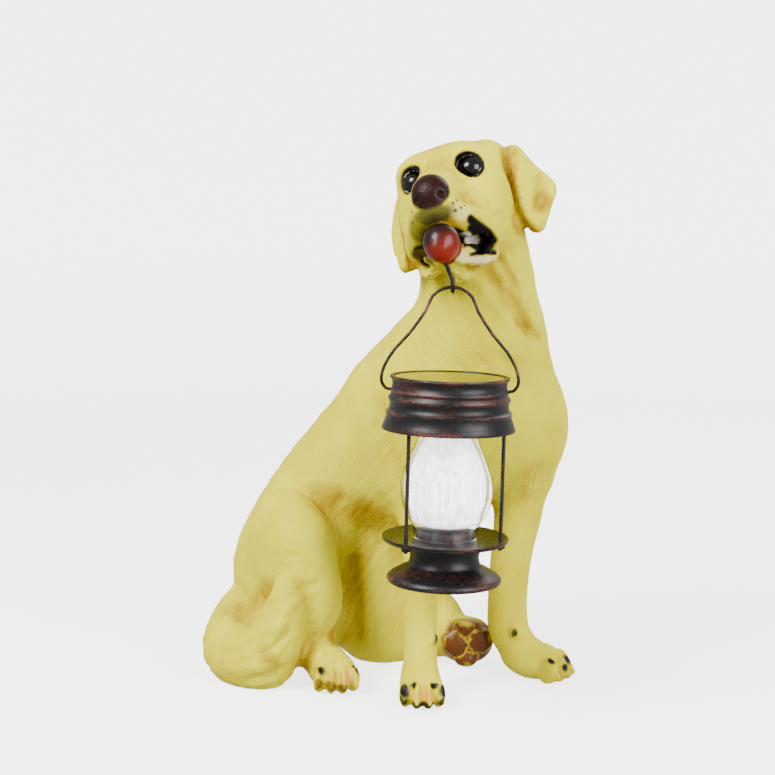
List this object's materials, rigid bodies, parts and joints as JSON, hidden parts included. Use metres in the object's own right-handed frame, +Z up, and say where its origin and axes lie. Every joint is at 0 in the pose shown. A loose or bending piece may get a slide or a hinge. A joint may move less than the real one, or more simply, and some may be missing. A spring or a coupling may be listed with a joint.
{
  "type": "solar dog garden statue",
  "caption": "Sitting dog garden statue with its head turned, holding a solar lantern that hangs by a wire bail from a hook in its tongue.",
  "frame": {"origin": "centre of the whole object's footprint, on the ground plane under the paws and haunches", "axes": "+Z up, -Y the way the dog's chest faces, +X to the dog's left"},
  "size_m": [0.236, 0.2788, 0.413],
  "materials": {
    "yellow_resin": "satin painted resin",
    "black_paint": "black with brushed copper red",
    "solar_cells": "gloss",
    "clear_glass": "clear gloss"
  },
  "bodies": {
    "statue": {"dog": "yellow_resin", "hook": "black_paint", "bail": "black_paint"},
    "lantern": {"lantern_cap": "black_paint", "solar_panel": "solar_cells", "glass_chimney": "clear_glass", "lantern_base": "black_paint", "rod_left": "black_paint", "rod_right": "black_paint", "rod_rear": "black_paint"}
  },
  "joints": [
    {"name": "lantern_swing", "type": "hinge", "parent": "statue", "child": "lantern", "pos_m": [-0.04723, -0.09265, 0.2355], "axis": [0.7071, -0.7071, 0], "range_deg": [-60, 8]}
  ]
}
